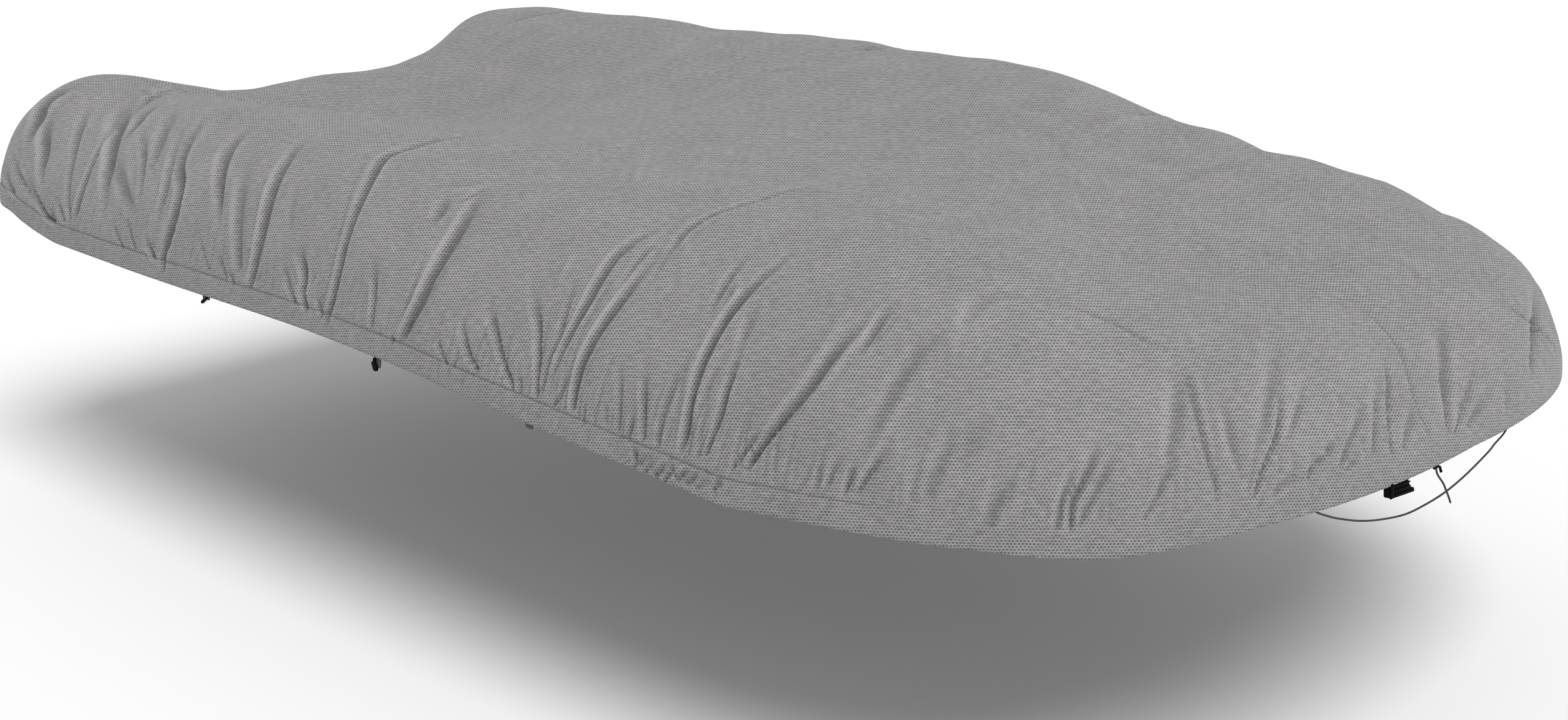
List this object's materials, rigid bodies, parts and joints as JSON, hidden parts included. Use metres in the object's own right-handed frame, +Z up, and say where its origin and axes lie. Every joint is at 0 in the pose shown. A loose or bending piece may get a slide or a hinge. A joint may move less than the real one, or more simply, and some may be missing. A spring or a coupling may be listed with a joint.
{
  "type": "fitted boat cover",
  "caption": "Fitted grey woven cloth cover for a small flat boat, with a rounded bow, a square saddled stern, folds gathered at the hem, hem ties and a slack bow drawcord.",
  "frame": {"origin": "on the underside of the cloth, under the middle of the top, where the boat's deck would hold it", "axes": "+X to the bow, +Y to the left side, +Z up, square to the level of the hem"},
  "size_m": [2.8645, 1.654, 0.3958],
  "materials": {
    "cover_cloth": "matt light grey plain-woven polyester with small dark gaps between the yarns",
    "webbing": "dark grey woven webbing",
    "black_plastic": "moulded black plastic with a slight sheen",
    "drawcord": "thin dark grey braided cord"
  },
  "bodies": {
    "root": {"cover": "cover_cloth", "tie_tab_right_1": "webbing", "tie_tab_right_2": "webbing", "tie_tab_right_3": "webbing", "tie_tab_left_1": "webbing", "tie_tab_left_2": "webbing", "tie_tab_left_3": "webbing", "tie_hook_right_1": "black_plastic", "tie_hook_right_2": "black_plastic", "tie_hook_left_1": "black_plastic", "tie_hook_left_2": "black_plastic", "bow_buckle": "black_plastic", "bow_strap": "webbing", "bow_elbow": "black_plastic", "hem_cord": "drawcord", "cord_tail": "drawcord"}
  },
  "joints": []
}
